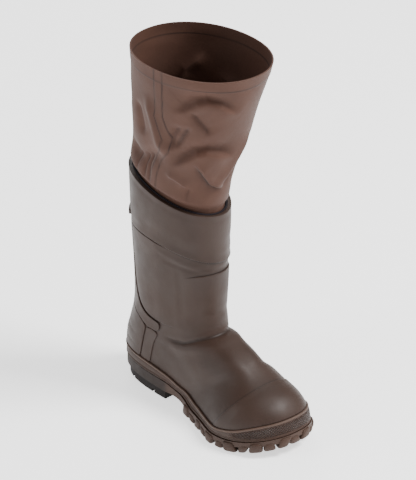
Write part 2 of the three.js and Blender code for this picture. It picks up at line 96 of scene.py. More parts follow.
# Overlays, collar and leg
CUFF = 1.6
CUFF_ROLL = 0.18
PANEL = 1.2
BACK_STAY = 1.6
SHIN = 1.4
COUNTER = 1.4
STRIP = 0.8
TOE_CAP = 1.2
TAB = 2
BINDING = 2.4
BINDING_DROP = 10
BINDING_RISE = 1.6
LEG_WALL = 1.2
LEG_DROP = 34
LEG_TOP = 478
LEG_RADIUS = 72
SEAM_WIDTH = 5
SEAM_RISE = 0.5
FOLD_GAIN = 1.35
LINE_REACH = 1.3
CUFF_LINE = 1.1
HEM = 14
HEM_RISE = 0.6

KNURL_PITCH = 4.2
KNURL_SLOPE = 1.25

# Clearances
GAP = 0.3
LINING_GAP = 0.5
SUNK = -0.2
FLUSH = -0.12

# Fineness of the meshes
COLUMNS = 168
SHAFT_STEPS = 24
FOOT_STEPS = 9
TOE_STEPS = 30
LEG_COLUMNS = 310
LEG_STEPS = 150
LOOP_POINTS = 600
LOOP_SMOOTHING = 6
PRISM_RUNGS = 160


def table(names, rows):
    return {name: np.array([row[i] for row in rows], float) for i, name in enumerate(names)}


# Plan outline of the foot. at: share of LENGTH. heel, waist, ball: shares of those widths, added up.
OUTLINE_COLUMNS = ["at", "heel", "waist", "ball"]
MEDIAL_OUTLINE = table(OUTLINE_COLUMNS, [
    [0, 0.5, 0, 0], [0.16, 0.5, 0, 0], [0.31, 0, 0.46, 0], [0.44, 0, 0.36, 0.06], [0.56, 0, 0.1, 0.31],
    [0.73, 0, 0, 0.515],
])
LATERAL_OUTLINE = table(OUTLINE_COLUMNS, [
    [0, 0.5, 0, 0], [0.16, 0.51, 0, 0], [0.31, 0, 0.51, 0], [0.44, 0, 0.26, 0.22], [0.54, 0, 0.05, 0.44],
    [0.64, 0, 0, 0.5],
])
MEDIAL_TOE_POWER = 2.05
LATERAL_TOE_POWER = 2.45

# Sections of the shaft from collar to ankle, then of the foot from ankle to toe, as in the CAD source. The
# columns are what shaft_section and foot_section take.
SHAFT_ROWS = [
    [1, 1, 1, 2.1], [0.72, 0.82, 0.7, 2.1], [0.45, 0.45, 0.4, 2.1], [0.22, 0.12, 0.1, 2.15],
    [0.05, 0, 0, 2.2],
]
FOOT_ROWS = [
    [0.052, 0.9, 0.535, 0.975, 1, 0, 0.5, 2.2, 2.25],
    [0.03, 0.71, 0.55, 0.925, 0.9, 0.2, 0.47, 2.2, 2.2],
    [0.009, 0.525, 0.58, 0.89, 0.7, 0.3, 0.43, 2.3, 2.3],
    [0, 0.34, 0.618, 0.868, 0.3, 0.4, 0.4, 2.3, 2.7],
    [0.01, 0.135, 0.657, 0.838, 0, 0.5, 0.38, 2.4, 3],
    [0.048, -0.07, 0.693, 0.802, 0, 0.7, 0.36, 2.5, 3.3],
    [0.144, -0.15, 0.723, 0.763, 0, 0.9, 0.345, 2.8, 3.2],
    [0.274, -0.15, 0.745, 0.725, 0, 1, 0.352, 2.8, 2.85],
    [0.41, -0.15, 0.768, 0.69, 0, 1, 0.365, 2.8, 2.5],
    [0.54, -0.15, 0.794, 0.655, 0, 1, 0.38, 2.8, 2.3],
    [0.657, -0.15, 0.824, 0.623, 0, 1, 0.394, 2.8, 2.2],
    [0.747, -0.15, 0.852, 0.598, 0, 1, 0.409, 2.8, 2.25],
]
TOE_POWER = 2.2
TOE_TOP_SLOPE = 0.5
TOE_SPACING = 1.1

FOXING_LINE = table(["at", "height"], [
    [0, 0.76], [0.2, 0.71], [0.38, 0.52], [0.55, 0.48], [0.68, 0.42], [0.82, 0.68], [0.92, 0.95], [1, 1],
])

# Side views of the overlays: corners in pairs, shares of LENGTH along and of COLLAR_HEIGHT up
CUFF_VIEW = [-0.17, 0.733, 0.2, 0.733, 0.38, 0.716, 0.51, 0.69, 0.65, 0.66, 0.65, 1.2, -0.17, 1.2]
TAB_VIEW = [-0.17, 0.759, 0.113, 0.759, 0.113, 0.815, -0.17, 0.815]
PANEL_VIEW = [
    0.113, 0.8, 0.123, 0.627, 0.137, 0.525, 0.154, 0.449, 0.184, 0.406, 0.225, 0.381, 0.28, 0.371,
    0.382, 0.366, 0.413, 0.376, 0.423, 0.429, 0.423, 0.8]
BACK_STAY_VIEW = [
    -0.17, 0.366, 0.102, 0.36, 0.171, 0.34, 0.239, 0.315, 0.312, 0.317, 0.317, 0.362, 0.278, 0.363,
    0.222, 0.372, 0.176, 0.399, 0.145, 0.447, 0.128, 0.525, 0.114, 0.627, 0.104, 0.8, -0.17, 0.8]
SHIN_VIEW = [
    0.433, 0.327, 0.461, 0.333, 0.512, 0.35, 0.563, 0.363, 0.65, 0.372, 0.65, 0.637, 0.512, 0.637,
    0.461, 0.62, 0.433, 0.607]
COUNTER_VIEW = [
    -0.17, 0.05, 0.16, 0.05, 0.164, 0.122, 0.22, 0.29, 0.222, 0.317, 0.171, 0.338, 0.102, 0.358,
    -0.17, 0.364]
STRIP_VIEW = [
    0.165, 0.05, 0.222, 0.05, 0.232, 0.122, 0.266, 0.244, 0.31, 0.312, 0.228, 0.312, 0.225, 0.29,
    0.169, 0.122]
TOE_CAP_VIEW = [
    0.7, 0.05, 1.1, 0.05, 1.1, 0.4, 0.853, 0.4, 0.843, 0.257, 0.812, 0.208, 0.771, 0.155, 0.723, 0.083]

# Sections of the fabric leg, by share of its height: shares of the collar's sizes, and of LENGTH
LEG_SECTIONS = table(["at", "depth", "width", "centre"], [
    [0.08, 0.97, 1.04, 0.3], [0.22, 0.99, 1.1, 0.318], [0.44, 1.07, 1.23, 0.355],
    [0.66, 1.16, 1.34, 0.39], [0.84, 1.25, 1.43, 0.415], [1, 1.32, 1.5, 0.43],
])


def mix(a, b, share):
    return a + (b - a) * share


def bell(far, width):
    return np.exp(-((far / width) ** 2))


def ease(start, end, value):
    t = np.clip((value - start) / (end - start), 0, 1)
    return t * t * (3 - 2 * t)


def through(rows, key, place):
    """A smooth curve through a table's rows. Past its ends it stays level."""
    at, values = rows["at"], rows[key]
    last = len(at) - 1
    place = np.clip(place, at[0], at[last])
    i = np.clip(np.searchsorted(at, place, side="left") - 1, 0, last - 1)
    low, high = np.maximum(np.arange(last + 1) - 1, 0), np.minimum(np.arange(last + 1) + 1, last)
    slope = (values[high] - values[low]) / (at[high] - at[low])
    run = at[i + 1] - at[i]
    rise = values[i + 1] - values[i]
    t = (place - at[i]) / run
    bend = t * (1 - t) * ((1 - t) * (slope[i] * run - rise) + t * (rise - slope[i + 1] * run))
    return values[i] + rise * t + bend


def reach(rows, power, share):
    """Reach of the foot from its middle line, at a share of its length."""
    wide = (through(rows, "heel", share) * HEEL_WIDTH + through(rows, "waist", share) * WAIST_WIDTH
            + through(rows, "ball", share) * BALL_WIDTH)
    ball = rows["at"][-1]
    past = np.clip((share - ball) / (1 - ball), 0, 1)
    return wide * (1 - past ** power) ** (1 / power)


def medial_reach(share):
    return reach(MEDIAL_OUTLINE, MEDIAL_TOE_POWER, share)


def lateral_reach(share):
    return reach(LATERAL_OUTLINE, LATERAL_TOE_POWER, share)


SECTION_KEYS = ["back_s", "back_z", "front_s", "front_z", "low_x", "top_x", "medial", "lateral", "widest",
                "low_power", "top_power", "roll"]


def shaft_section(up, wide, slope, power):
    depth = mix(ANKLE_DEPTH, COLLAR_DEPTH, wide)
    half = mix(ANKLE_WIDTH, COLLAR_WIDTH, wide) / 2
    centre = ANKLE_BACK + ANKLE_DEPTH / 2
    z = mix(INSTEP_HEIGHT, COLLAR_HEIGHT, up)
    shift = -COLLAR_SHIFT * wide
    return [centre - depth / 2, z + COLLAR_RISE * slope, centre + depth / 2, z - COLLAR_DIP * slope,
            shift, shift, half, half, 0.5, power, power, COLLAR_ROLL * slope / COLLAR_WIDTH]


def foot_section(back, low, front, top, ankle, ridge, widest, low_power, top_power):
    at = mix(back, front, widest)
    return [back * LENGTH, low * INSTEP_HEIGHT, front * LENGTH, top * INSTEP_HEIGHT, 0, -RIDGE_SHIFT * ridge,
            mix(medial_reach(at), ANKLE_WIDTH / 2, ankle), mix(lateral_reach(at), ANKLE_WIDTH / 2, ankle),
            widest, low_power, top_power, 0]


ROWS = np.array([shaft_section(*row) for row in SHAFT_ROWS] + [foot_section(*row) for row in FOOT_ROWS])
FOOT_AT = len(SHAFT_ROWS) - 1
TOE_AT = len(ROWS) - 1
TIP_AT = TOE_AT + 0.9995
STEP = 0.002
FAR = 1e9


def sections(u):
    """The section at each place u: row numbers up to the last row, and past it the toe closing to its tip."""
    i = np.clip(np.floor(u).astype(int), 0, TOE_AT - 1)
    t = np.clip(u - i, 0, 1)[:, None]
    p0, p1, p2, p3 = ROWS[np.maximum(i - 1, 0)], ROWS[i], ROWS[i + 1], ROWS[np.minimum(i + 2, TOE_AT)]
    rows = 0.5 * (2 * p1 + (p2 - p0) * t + (2 * p0 - 5 * p1 + 4 * p2 - p3) * t ** 2
                  + (3 * p1 - p0 - 3 * p2 + p3) * t ** 3)
    named = {key: rows[:, k] for k, key in enumerate(SECTION_KEYS)}
    toe = u > TOE_AT
    last = dict(zip(SECTION_KEYS, ROWS[-1]))
    before = dict(zip(SECTION_KEYS, ROWS[-2]))
    slope = (last["front_z"] - before["front_z"]) / (last["front_s"] - before["front_s"])
    forward = np.sin(np.clip(u[toe] - TOE_AT, 0, 1) * math.pi / 2) ** TOE_SPACING
    close = (1 - forward ** TOE_POWER) ** (1 / TOE_POWER)
    widest = mix(last["back_s"], last["front_s"], last["widest"])
    share = mix(widest, LENGTH, forward) / LENGTH
    top = last["front_z"] + slope * (LENGTH - last["front_s"]) * forward * TOE_TOP_SLOPE
    named["back_s"][toe] = mix(last["back_s"], LENGTH, forward)
    named["back_z"][toe] = mix(TOE_HEIGHT, last["back_z"], close)
    named["front_s"][toe] = mix(last["front_s"], LENGTH, forward)
    named["front_z"][toe] = mix(TOE_HEIGHT, top, close)
    named["top_x"][toe] = mix(last["top_x"], 0, forward)
    named["medial"][toe] = medial_reach(share)
    named["lateral"][toe] = lateral_reach(share)
    return named


def boot_point(u, v):
    """Places on the upper's smooth outer surface. v turns round each section from its back or low end."""
    row = sections(np.clip(u, 0, TIP_AT))
    c, d = np.cos(v), np.sin(v)
    power = np.where(c >= 0, row["low_power"], row["top_power"])
    radius = (np.abs(c) ** power + np.abs(d) ** power) ** (-1 / power)
    way = row["widest"] - np.where(c >= 0, row["widest"], 1 - row["widest"]) * radius * c
    side = np.where(d >= 0, row["lateral"], row["medial"]) * radius * d
    x = mix(row["low_x"], row["top_x"], way) + side
    s = mix(row["back_s"], row["front_s"], way)
    z = mix(row["back_z"], row["front_z"], way) - row["roll"] * side
    return np.stack([x, s, z], axis=1)


def boot_normal(u, v):
    along = boot_point(u + STEP, v) - boot_point(np.maximum(u - STEP, 0), v)
    around = boot_point(u, v + STEP) - boot_point(u, v - STEP)
    normal = np.cross(along, around)
    return normal / np.maximum(np.linalg.norm(normal, axis=1, keepdims=True), 1e-9)


# Heights along the foot, as functions of s
def spring(s):
    return TOE_SPRING * np.maximum((s / LENGTH - SPRING_START) / (1 - SPRING_START), 0) ** SPRING_POWER


def to_ball(s):
    return ease(HEEL_BREAST, BALL_START * LENGTH, s)


def arch_rise(s):
    fall = 1 - ease(ARCH_TOP * LENGTH, ARCH_END * LENGTH, s)
    return ARCH_RISE * ease(HEEL_BREAST, ARCH_TOP * LENGTH, s) * fall


def sole_top(s):
    return mix(HEEL_SEAT, BALL_SEAT, to_ball(s)) + spring(s)


def slab_bottom(s):
    return mix(HEEL_LIFT + GAP, LUG_DEPTH, to_ball(s)) + arch_rise(s) + spring(s)


def foxing_top(s):
    return sole_top(s) + BUMPER_HEIGHT * through(FOXING_LINE, "height", s / LENGTH)


def collar_z(p):
    """Height of the collar's edge plane over each place."""
    back = ANKLE_BACK + (ANKLE_DEPTH - COLLAR_DEPTH) / 2
    slope = (COLLAR_RISE + COLLAR_DIP) / COLLAR_DEPTH
    roll = COLLAR_ROLL / COLLAR_WIDTH
    return COLLAR_HEIGHT + COLLAR_RISE - slope * (p[:, 1] - back) - roll * (p[:, 0] + COLLAR_SHIFT)


def distance_to_line(points, line):
    """Distance of 2-D points from a broken line, the share of the line's length at the nearest place, and
    the side of the line that they are on, 1 or -1."""
    best = np.full(len(points), FAR)
    share, side = np.zeros(len(points)), np.zeros(len(points))
    lengths = np.linalg.norm(np.diff(line, axis=0), axis=1)
    total = lengths.sum()
    walked = 0.0
    for a, b, length in zip(line[:-1], line[1:], lengths):
        way = b - a
        t = np.clip(((points - a) @ way) / max(length ** 2, 1e-9), 0, 1)
        gap = points - (a + t[:, None] * way)
        far = np.linalg.norm(gap, axis=1)
        nearer = far < best
        best = np.where(nearer, far, best)
        share = np.where(nearer, (walked + t * length) / total, share)
        side = np.where(nearer, np.sign(way[1] * gap[:, 0] - way[0] * gap[:, 1]), side)
        walked += length
    return best, share, side


def rounded(outline, rounds=3):
    """A closed outline with its corners cut off a few times over, which rounds them."""
    points = np.array(outline, float)
    for _ in range(rounds):
        after = np.roll(points, -1, axis=0)
        points = np.stack([mix(points, after, 0.25), mix(points, after, 0.75)], axis=1).reshape(-1, 2)
    return points


def inside_view(view, roll=0, lower=0):
    """A field: how far each place is outside a side view's outline, negative inside it."""
    outline = rounded(np.reshape(view, (-1, 2)) * [LENGTH, COLLAR_HEIGHT] - [0, lower])
    closed = np.vstack([outline, outline[:1]])

    def field(p):
        q = np.stack([p[:, 1], p[:, 2] + roll * p[:, 0]], axis=1)
        far = distance_to_line(q, closed)[0]
        crossings = np.zeros(len(q), bool)
        for a, b in zip(closed[:-1], closed[1:]):
            between = (a[1] > q[:, 1]) != (b[1] > q[:, 1])
            level = b[1] - a[1] if b[1] != a[1] else 1e-9
            crossings ^= between & (q[:, 0] < a[0] + (q[:, 1] - a[1]) * (b[0] - a[0]) / level)
        return np.where(crossings, -far, far)

    return field


def medial_side(p):
    return p[:, 0]


def lateral_side(p):
    return -p[:, 0]


def above_sole(p):
    return sole_top(p[:, 1]) + GAP - p[:, 2]


def above_foxing(p):
    return foxing_top(p[:, 1]) + GAP - p[:, 2]


def below_foxing(p):
    return p[:, 2] - foxing_top(p[:, 1])


def below_collar(p):
    return p[:, 2] - collar_z(p)


def outside(field):
    return lambda p: -field(p)


under_cuff = outside(inside_view(CUFF_VIEW, CUFF_ROLL, CUFF_LINE))
in_cuff = inside_view(CUFF_VIEW, CUFF_ROLL)

# Creases in the upper. Each row: depth in mm, positive for a trough, width in mm, and the places along its
# line in the side view, in pairs.
CREASES = [
    (2.0, 2.6, [0.33, 0.306, 0.39, 0.303, 0.445, 0.312, 0.5, 0.338, 0.55, 0.358, 0.62, 0.372]),
    (-1.5, 5.5, [0.35, 0.282, 0.41, 0.277, 0.465, 0.288, 0.52, 0.312, 0.57, 0.334, 0.63, 0.35]),
    (0.9, 5.0, [0.428, 0.365, 0.43, 0.45, 0.428, 0.56, 0.424, 0.68]),
    (0.7, 3.0, [0.34, 0.68, 0.42, 0.668, 0.5, 0.652, 0.56, 0.646]),
    (-0.6, 3.5, [0.3, 0.722, 0.4, 0.7, 0.48, 0.676, 0.56, 0.66]),
    (0.5, 10.0, [0.36, 0.26, 0.44, 0.21, 0.5, 0.16, 0.55, 0.11]),
    (0.8, 8.0, [0.2, 0.82, 0.34, 0.8, 0.48, 0.76, 0.56, 0.75]),
    (0.7, 7.0, [0.44, 0.42, 0.52, 0.44, 0.6, 0.45]),
    (0.5, 5.0, [0.28, 0.27, 0.36, 0.25, 0.42, 0.22]),
]
CREASE_ENDS = 5
UNEVEN = 0.12


def beside_creases(p):
    """For each crease its depth and width, and for each place its distance and how much the crease's ends
    leave of it there."""
    for depth, width, line in CREASES:
        far, share, _ = distance_to_line(p[:, 1:], np.reshape(line, (-1, 2)) * [LENGTH, COLLAR_HEIGHT])
        yield depth, width, far, np.clip(np.minimum(share, 1 - share) * CREASE_ENDS, 0, 1)


def relief(p):
    """How far the surface stands proud at each place, from its creases and its slightly uneven moulding."""
    up = np.zeros(len(p))
    for depth, width, far, fade in beside_creases(p):
        up -= depth * fade * (3 - 2 * fade) * fade * bell(far, width)
    uneven = (np.sin(p[:, 2] / 23 + p[:, 0] / 31) * np.sin(p[:, 1] / 29 + 1.3)
              + 0.6 * np.sin(p[:, 2] / 13 - p[:, 1] / 17 + p[:, 0] / 19 + 0.7))
    return up + UNEVEN * uneven


def base_grid():
    """The upper's surface as a fine grid of (u, v) places, joined in triangles that wrap round."""
    lines = []
    for i in range(TOE_AT):
        steps = SHAFT_STEPS if i < FOOT_AT else FOOT_STEPS
        lines += [i + k / steps for k in range(steps)]
    lines += [TOE_AT + (k / TOE_STEPS) for k in range(TOE_STEPS)] + [TIP_AT]
    u, v = np.meshgrid(np.array(lines), np.arange(COLUMNS) * 2 * math.pi / COLUMNS, indexing="ij")
    return u.ravel(), v.ravel(), wrapped_triangles(len(lines), COLUMNS)


def wrapped_triangles(rows, columns):
    i, j = np.meshgrid(np.arange(rows - 1), np.arange(columns), indexing="ij")
    a = (i * columns + j).ravel()
    b = (i * columns + (j + 1) % columns).ravel()
    c, d = a + columns, b + columns
    return np.concatenate([np.stack([a, d, c], 1), np.stack([a, b, d], 1)])


BASE_U, BASE_V, BASE_TRIANGLES = base_grid()
BASE_POINTS = boot_point(BASE_U, BASE_V)


def cut(u, v, f, triangles, level):
    """Splits the triangles along the line where f is at a level, so that points lie on that line."""
    inner = f < level
    count = inner[triangles].sum(axis=1)
    mixed = (count == 1) | (count == 2)
    whole, split = triangles[~mixed], triangles[mixed]
    if len(split) == 0:
        return u, v, f, triangles
    odd = np.argmax(inner[split] == (count[mixed] == 1)[:, None], axis=1)
    pick = (odd[:, None] + np.arange(3)) % 3
    a, b, c = np.take_along_axis(split, pick, axis=1).T
    edges = np.concatenate([np.stack([a, b], 1), np.stack([a, c], 1)])
    edges.sort(axis=1)
    unique, place = np.unique(edges, axis=0, return_inverse=True)
    place = place.ravel() + len(u)
    e, g = unique.T
    t = (level - f[e]) / (f[g] - f[e])
    turn = (v[g] - v[e] + math.pi) % (2 * math.pi) - math.pi
    u = np.append(u, u[e] + t * (u[g] - u[e]))
    v = np.append(v, v[e] + t * turn)
    f = np.append(f, np.full(len(unique), float(level)))
    p, q = place[:len(a)], place[len(a):]
    parts = [whole, np.stack([a, p, q], 1), np.stack([p, b, c], 1), np.stack([p, c, q], 1)]
    return u, v, f, np.concatenate(parts)


EDGE_LINES = (0, 0.2, 0.5, 1)


def patch(fields, edge, lines=EDGE_LINES):
    """The part of the surface where all fields are negative, with lines of points along its rounded edge.
    lines: how far those lines lie in from the edge, as shares of edge."""
    f = np.max([field(BASE_POINTS) for field in fields], axis=0)
    triangles = BASE_TRIANGLES[f[BASE_TRIANGLES].min(axis=1) < 0]
    used, triangles = np.unique(triangles, return_inverse=True)
    u, v, f, triangles = BASE_U[used], BASE_V[used], f[used], triangles.reshape(-1, 3)
    for share in lines:
        u, v, f, triangles = cut(u, v, f, triangles, -share * edge)
    middle = f[triangles].mean(axis=1)
    triangles = triangles[middle < 0]
    used, triangles = np.unique(triangles, return_inverse=True)
    return u[used], v[used], f[used], triangles.reshape(-1, 3)


def rim_edges(triangles):
    """Edges that only one triangle has, in that triangle's own direction."""
    edges = np.concatenate([triangles[:, [0, 1]], triangles[:, [1, 2]], triangles[:, [2, 0]]])
    keys = np.sort(edges, axis=1)
    _, first, count = np.unique(keys, axis=0, return_index=True, return_counts=True)
    return edges[first[count == 1]]


def closed_layer(high, low, triangles):
    """A closed body from an upper and a lower sheet of places that have the same triangles."""
    rim = rim_edges(triangles)
    n = len(high)
    walls = np.concatenate([
        np.stack([rim[:, 1], rim[:, 0], rim[:, 0] + n], 1),
        np.stack([rim[:, 1], rim[:, 0] + n, rim[:, 1] + n], 1),
    ])
    faces = np.concatenate([triangles, triangles[:, ::-1] + n, walls])
    return np.concatenate([high, low]), faces


def new_object(name, data):
    made = bpy.data.objects.new(name, data)
    bpy.context.scene.collection.objects.link(made)
    return made


def volume(places, faces):
    """Six times a closed body's volume, below zero where its faces look inwards."""
    corners = places[faces]
    return np.einsum("ij,ij->i", corners[:, 0], np.cross(corners[:, 1], corners[:, 2])).sum()


def add_mesh(name, places, faces, material, replaced, slot, attributes=None, angle=50):
    """A piece from places in (x, s, z) mm, facing outwards, with smooth shading and sharp steps."""
    world = np.stack([places[:, 0], HEEL_CENTRE - places[:, 1], places[:, 2]], axis=1) * MM
    if volume(world, faces) < 0:
        faces = faces[:, ::-1]
    mesh = bpy.data.meshes.new(name)
    mesh.from_pydata(world.tolist(), [], faces.tolist())
    for key, values in (attributes or {}).items():
        layer = mesh.attributes.new(key, "FLOAT", "POINT")
        layer.data.foreach_set("value", np.asarray(values, np.float32))
    piece = new_object(name, mesh)
    mesh.polygons.foreach_set("use_smooth", [True] * len(mesh.polygons))
    mesh.set_sharp_from_angle(angle=math.radians(angle))
    mesh.materials.append(material)
    mesh.update()
    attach(piece, "root")
    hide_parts(*replaced)
    return piece


# Materials
def rgb(red, green, blue):
    """A colour from its red, green and blue on screen, 0 to 255, as linear light."""
    linear = [((c / 255 + 0.055) / 1.055) ** 2.4 if c > 10 else c / 255 / 12.92 for c in (red, green, blue)]
    return (*linear, 1.0)


def fill(tree, node, inputs):
    """Links a node's inputs to other nodes' outputs, or sets them to a number or colour."""
    for key, value in inputs.items():
        if isinstance(value, bpy.types.NodeSocket):
            tree.links.new(value, node.inputs[key])
        elif value is not None:
            node.inputs[key].default_value = value


def output(tree, kind, inputs, socket=0, **settings):
    """The output of a new node."""
    node = tree.nodes.new("ShaderNode" + kind)
    for key, value in settings.items():
        setattr(node, key, value)
    fill(tree, node, inputs)
    return node.outputs[socket]


def new_material(name):
    material = bpy.data.materials.new(name)
    material.use_nodes = True
    tree = material.node_tree
    tree.nodes.clear()
    surface = tree.nodes.new("ShaderNodeOutputMaterial")
    shader = tree.nodes.new("ShaderNodeBsdfPrincipled")
    fill(tree, surface, {0: shader.outputs[0]})
    return material, tree, shader


def noise(tree, place, scale, detail):
    return output(tree, "TexNoise", {"Scale": scale, "Detail": detail, "Vector": place})


def remap(tree, value, low, high, to_low, to_high):
    return output(tree, "MapRange", {0: value, 1: low, 2: high, 3: to_low, 4: to_high})


def blend_colours(tree, factor, first, second):
    return output(tree, "Mix", {0: factor, 6: first, 7: second}, 2, data_type="RGBA")


def bump(tree, height, strength, distance, normal=None):
    inputs = {"Strength": strength, "Distance": distance, "Height": height, "Normal": normal}
    return output(tree, "Bump", inputs)


def attribute(tree, name):
    return output(tree, "Attribute", {}, "Fac", attribute_name=name)


def calculate(tree, operation, first, second=None):
    return output(tree, "Math", {0: first, 1: second}, operation=operation)


def marked(tree, mark, most):
    """How much of a second colour shows: up to a share of it, where an attribute of the mesh is 1."""
    return remap(tree, attribute(tree, mark), 0, 1, 0, most)


def patched(name, colour, patchy, scale, detail):
    """A material with soft patches of a second colour: itself, its tree, shader, coordinates and colour."""
    material, tree, shader = new_material(name)
    place = output(tree, "TexCoord", {}, "Object")
    cloud = remap(tree, noise(tree, place, scale, detail), 0.35, 0.65, 0, 1)
    return material, tree, shader, place, blend_colours(tree, cloud, colour, patchy)


# The most that a second colour shows
# the most painted shade in the upper's crevices, and the most of the outsole's darker heel tone
SHADE_AND_HEEL_DARK = 0.7
BEAD_LIGHT = 0.6
# the most painted shade in the knurl's grooves
GROOVE_SHADE = 0.65
# the most painted shade along the leg's folds, and the most darkening at its seam's stitches
FOLD_SHADE_AND_STITCH_DARK = 0.7

# Heights of the bumps, in metres
GRAIN_BUMP = 0.0004
MOULD_BUMP = 0.0012
KNURL_BUMP = 0.0014
CLOTH_BUMP = 0.002


def rubber(name, colour, patchy, roughness=0.5, grain=0.10, gloss=0.24, dark=None, light=None, groove_shade=None):
    """Matte moulded rubber: a soft broad sheen, faint patches and a fine grain. dark paints shade into its
    crevices and gives the outsole's heel its darker tone, light colours its bead, and the groove colour
    paints shade into the grooves of its knurl."""
    material, tree, shader, place, base = patched(name, colour, patchy, 14, 4)
    if dark is not None:
        # painted shade in the upper's crevices and deep creases, and the outsole's darker heel tone
        base = blend_colours(tree, marked(tree, "crevice", SHADE_AND_HEEL_DARK), base, dark)
    if light is not None:
        base = blend_colours(tree, marked(tree, "bead", BEAD_LIGHT), base, light)
        diamonds = knurl(tree)
        # painted shade in the knurl's grooves, between its raised diamonds
        depth = calculate(tree, "SUBTRACT", attribute(tree, "knurl"), diamonds)
        base = blend_colours(tree, remap(tree, depth, 0.3, 1, 0, GROOVE_SHADE), base, groove_shade)
    rough = remap(tree, noise(tree, place, 40, 5), 0.3, 0.7, roughness - 0.06, roughness + 0.08)
    fine = bump(tree, noise(tree, place, 2600, 2), grain, GRAIN_BUMP)
    normal = bump(tree, noise(tree, place, 130, 3), 0.12, MOULD_BUMP, fine)
    if light is not None:
        normal = bump(tree, diamonds, 1.0, KNURL_BUMP, normal)
    fill(tree, shader, {"Base Color": base, "Roughness": rough, "Specular IOR Level": gloss,
                        "Normal": normal})
    return material


def knurl(tree):
    """Small raised diamonds between crossing grooves, where the knurl attribute is 1."""
    along, rise = attribute(tree, "along"), attribute(tree, "rise")
    heights = []
    for operation in ("ADD", "SUBTRACT"):
        slanted = calculate(tree, operation, along, calculate(tree, "MULTIPLY", rise, KNURL_SLOPE))
        wave = calculate(tree, "SINE", calculate(tree, "MULTIPLY", slanted, math.pi / KNURL_PITCH))
        heights.append(calculate(tree, "ABSOLUTE", wave))
    return calculate(tree, "MULTIPLY", calculate(tree, "MINIMUM", *heights), attribute(tree, "knurl"))


def cloth(name, colour, patchy, roughness, weave, dark=None):
    """Coated nylon: a fine plain weave, slight sheen at a low angle, darker along its seam's stitches, with
    painted shade along its sharp folds.
    """
    material, tree, shader, place, base = patched(name, colour, patchy, 22, 5)
    if dark is not None:
        # painted shade along the folds, and the darker stitching of the seam and hem
        fold_shade, seam = marked(tree, "fold_shade", FOLD_SHADE_AND_STITCH_DARK), marked(tree, "seam", FOLD_SHADE_AND_STITCH_DARK)
        base = blend_colours(tree, calculate(tree, "MAXIMUM", fold_shade, seam), base, dark)
    threads = bump(tree, noise(tree, place, 1800, 2), weave, GRAIN_BUMP)
    normal = bump(tree, noise(tree, place, 90, 4), 0.15, CLOTH_BUMP, threads)
    fill(tree, shader, {"Base Color": base, "Roughness": roughness, "Specular IOR Level": 0.2,
                        "Sheen Weight": 0.03, "Sheen Roughness": 0.5, "Normal": normal})
    return material


BOOT_COLOURS = rgb(48, 35, 29), rgb(54, 39, 32)
# the boot's dark colour is painted shade in the upper's crevices and deep creases
BOOT = rubber("boot_rubber", *BOOT_COLOURS, dark=rgb(12, 9, 8))
OVERLAY = rubber("overlay_rubber", *BOOT_COLOURS)
SOLE = rubber("sole_rubber", rgb(56, 40, 32), rgb(63, 45, 36), roughness=0.58, grain=0.2,
              dark=rgb(20, 14, 12))
# the foxing's groove colour is painted shade in the knurl's grooves
BAND = rubber("foxing_rubber", rgb(52, 37, 29), rgb(58, 41, 33), roughness=0.52, light=rgb(94, 76, 66),
              groove_shade=rgb(27, 20, 17))
HEEL = rubber("heel_rubber", rgb(20, 15, 14), rgb(25, 18, 16), roughness=0.65, grain=0.2, gloss=0.15)
# the leg's dark colour is painted shade along its folds, and the colour of its stitches
LEG = cloth("leg_cloth", rgb(76, 51, 41), rgb(70, 47, 38), 0.7, 0.25, dark=rgb(18, 11, 10))
LINING = cloth("lining_cloth", rgb(30, 25, 28), rgb(36, 30, 33), 0.9, 0.5)
BINDING_CLOTH = cloth("binding_cloth", rgb(20, 14, 19), rgb(25, 18, 23), 0.8, 0.4)


# The pieces
def on_both(marks):
    """The marks of a layer's upper sheet, repeated for its lower one."""
    return {key: np.append(values, values) for key, values in marks.items()}


def layer_piece(name, node, fields, thickness, edge=0.8, material=OVERLAY, slot="boot_rubber", low=SUNK,
                base=GAP, show=None, shape=None, lines=EDGE_LINES, marks=None):
    """A raised layer on the upper where all fields are negative, with a rounded edge.
    show: how much of the layer stands proud at each place, from 0, level with the upper, to 1.
    shape: more height, as a function of the places and of how far in from the edge they lie.
    marks: values for the material, as a function of the places."""
    u, v, f, triangles = patch(fields, edge, lines)
    p, n = boot_point(u, v), boot_normal(u, v)
    up = relief(p)
    t = np.clip(1 + f / edge, 0, 1)
    height = base + thickness - edge + edge * np.sqrt(1 - t ** 2)
    if shape is not None:
        height = height + shape(p, -f)
    if show is not None:
        height = mix(FLUSH, height, show(p))
    places, faces = closed_layer(p + n * (height + up)[:, None], p + n * (low + up)[:, None], triangles)
    return add_mesh(name, places, faces, material, [node], slot, on_both(marks(p) if marks else {}))


# How much of each overlay shows: where the photo has no edge, it runs level into the upper.
def shin_shows(p):
    up, along = p[:, 2] / COLLAR_HEIGHT, p[:, 1] / LENGTH
    return ease(0.42, 0.60, up) * ease(0.435, 0.53, along)


def panel_shows(p):
    return 1 - ease(0.31, 0.41, p[:, 1] / LENGTH)


def toe_cap_shows(p):
    return np.full(len(p), 0.72)


# Painted shade on the upper, as dark lines beside its overlays: side view, roll, weight, and where the
# overlay shows
PAINTED_SHADE_LINES = [
    (PANEL_VIEW, 0, 1.0, panel_shows), (BACK_STAY_VIEW, 0, 0.9, None), (SHIN_VIEW, 0, 1.0, shin_shows),
    (COUNTER_VIEW, 0, 0.2, None), (STRIP_VIEW, 0, 0.3, None), (TOE_CAP_VIEW, 0, 0.8, toe_cap_shows),
    (CUFF_VIEW, CUFF_ROLL, 1.0, None)]
SHADE_LINE_WIDTH = 1.5
CREASE_SHADE = 0.6
CREASE_NARROWER = 0.6


